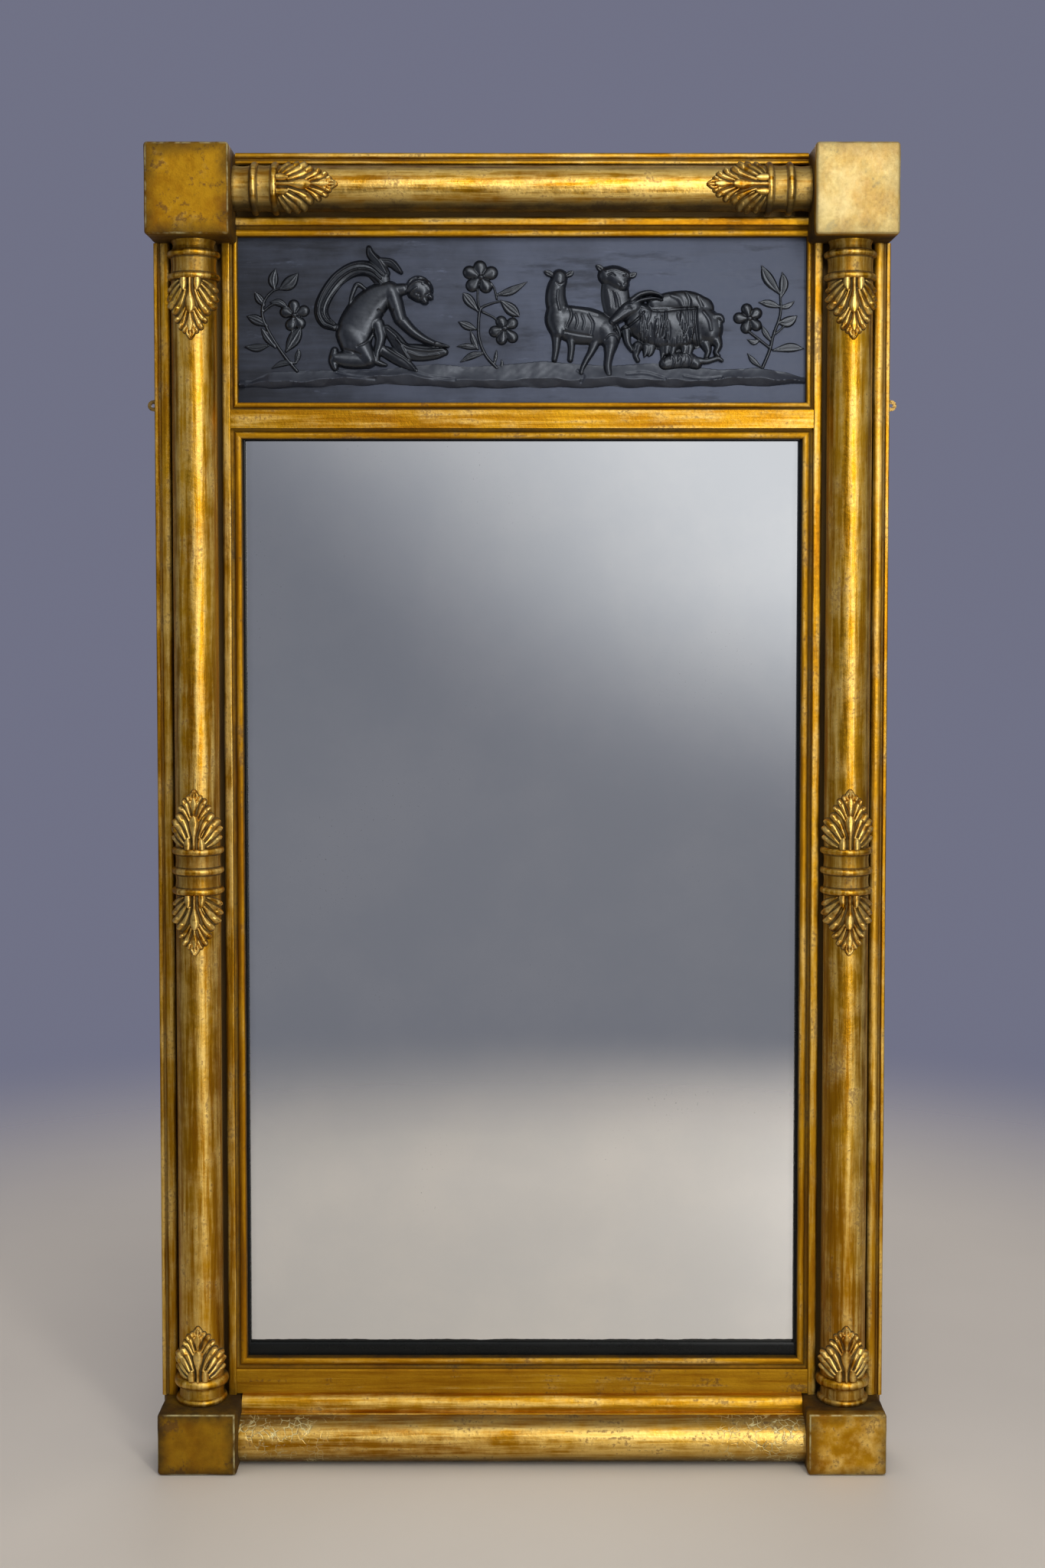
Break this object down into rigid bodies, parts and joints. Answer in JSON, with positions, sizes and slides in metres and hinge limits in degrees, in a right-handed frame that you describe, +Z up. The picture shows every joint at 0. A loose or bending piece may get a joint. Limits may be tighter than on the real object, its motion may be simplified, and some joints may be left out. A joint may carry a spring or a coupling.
{
  "type": "giltwood mirror",
  "caption": "Tall giltwood pier mirror: turned columns between square corner blocks, carved leaf sprays and a black relief frieze above the looking glass.",
  "frame": {"origin": "middle of the foot of the mirror, on the floor, halfway through its depth", "axes": "+Z up, -Y out of the looking glass towards the viewer, +X to the viewer's right"},
  "size_m": [0.902, 0.104, 1.562],
  "materials": {
    "gilt": "gilded, worn satin",
    "pine": "raw, aged",
    "black_wood": "ebonised, satin",
    "panel_black": "painted, matt",
    "relief_black": "painted, satin",
    "silvered_glass": "old silvering, foxed",
    "brass": "tarnished",
    "steel": "dull"
  },
  "bodies": {
    "root": {"bottom_band": "gilt", "bottom_bead": "gilt", "bottom_block_left": "gilt", "bottom_block_right": "gilt", "bottom_half_round": "gilt", "bottom_rail": "pine", "brass_screws": "brass", "column_left": "gilt", "column_right": "gilt", "foot_leaf_left": "gilt", "foot_leaf_right": "gilt", "frieze_backboard": "pine", "frieze_panel": "panel_black", "frieze_rail": "gilt", "frieze_sight_bottom": "gilt", "frieze_sight_left": "gilt", "frieze_sight_right": "gilt", "frieze_sight_top": "gilt", "inner_moulding_left": "gilt", "inner_moulding_right": "gilt", "middle_lower_leaf_left": "gilt", "middle_lower_leaf_right": "gilt", "middle_upper_leaf_left": "gilt", "middle_upper_leaf_right": "gilt", "mirror_plate": "silvered_glass", "outer_moulding_left": "gilt", "outer_moulding_right": "gilt", "plate_backboard_left": "pine", "plate_backboard_right": "pine", "plate_sight_bottom": "gilt", "plate_sight_left": "gilt", "plate_sight_right": "gilt", "plate_sight_top": "gilt", "plate_wedges": "pine", "rail_leaf_left": "gilt", "rail_leaf_right": "gilt", "relief_child": "relief_black", "relief_goats": "relief_black", "relief_ground": "relief_black", "relief_plant_centre": "relief_black", "relief_plant_left": "relief_black", "relief_plant_right": "relief_black", "slip_bottom": "black_wood", "slip_left": "black_wood", "slip_right": "black_wood", "slip_top": "black_wood", "steel_screws": "steel", "stile_left": "pine", "stile_right": "pine", "top_block_left": "gilt", "top_block_right": "gilt", "top_column": "gilt", "top_inner_moulding": "gilt", "top_leaf_left": "gilt", "top_leaf_right": "gilt", "top_outer_moulding": "gilt", "top_rail": "pine", "wall_plate_left": "brass", "wall_plate_right": "brass"}
  },
  "joints": []
}
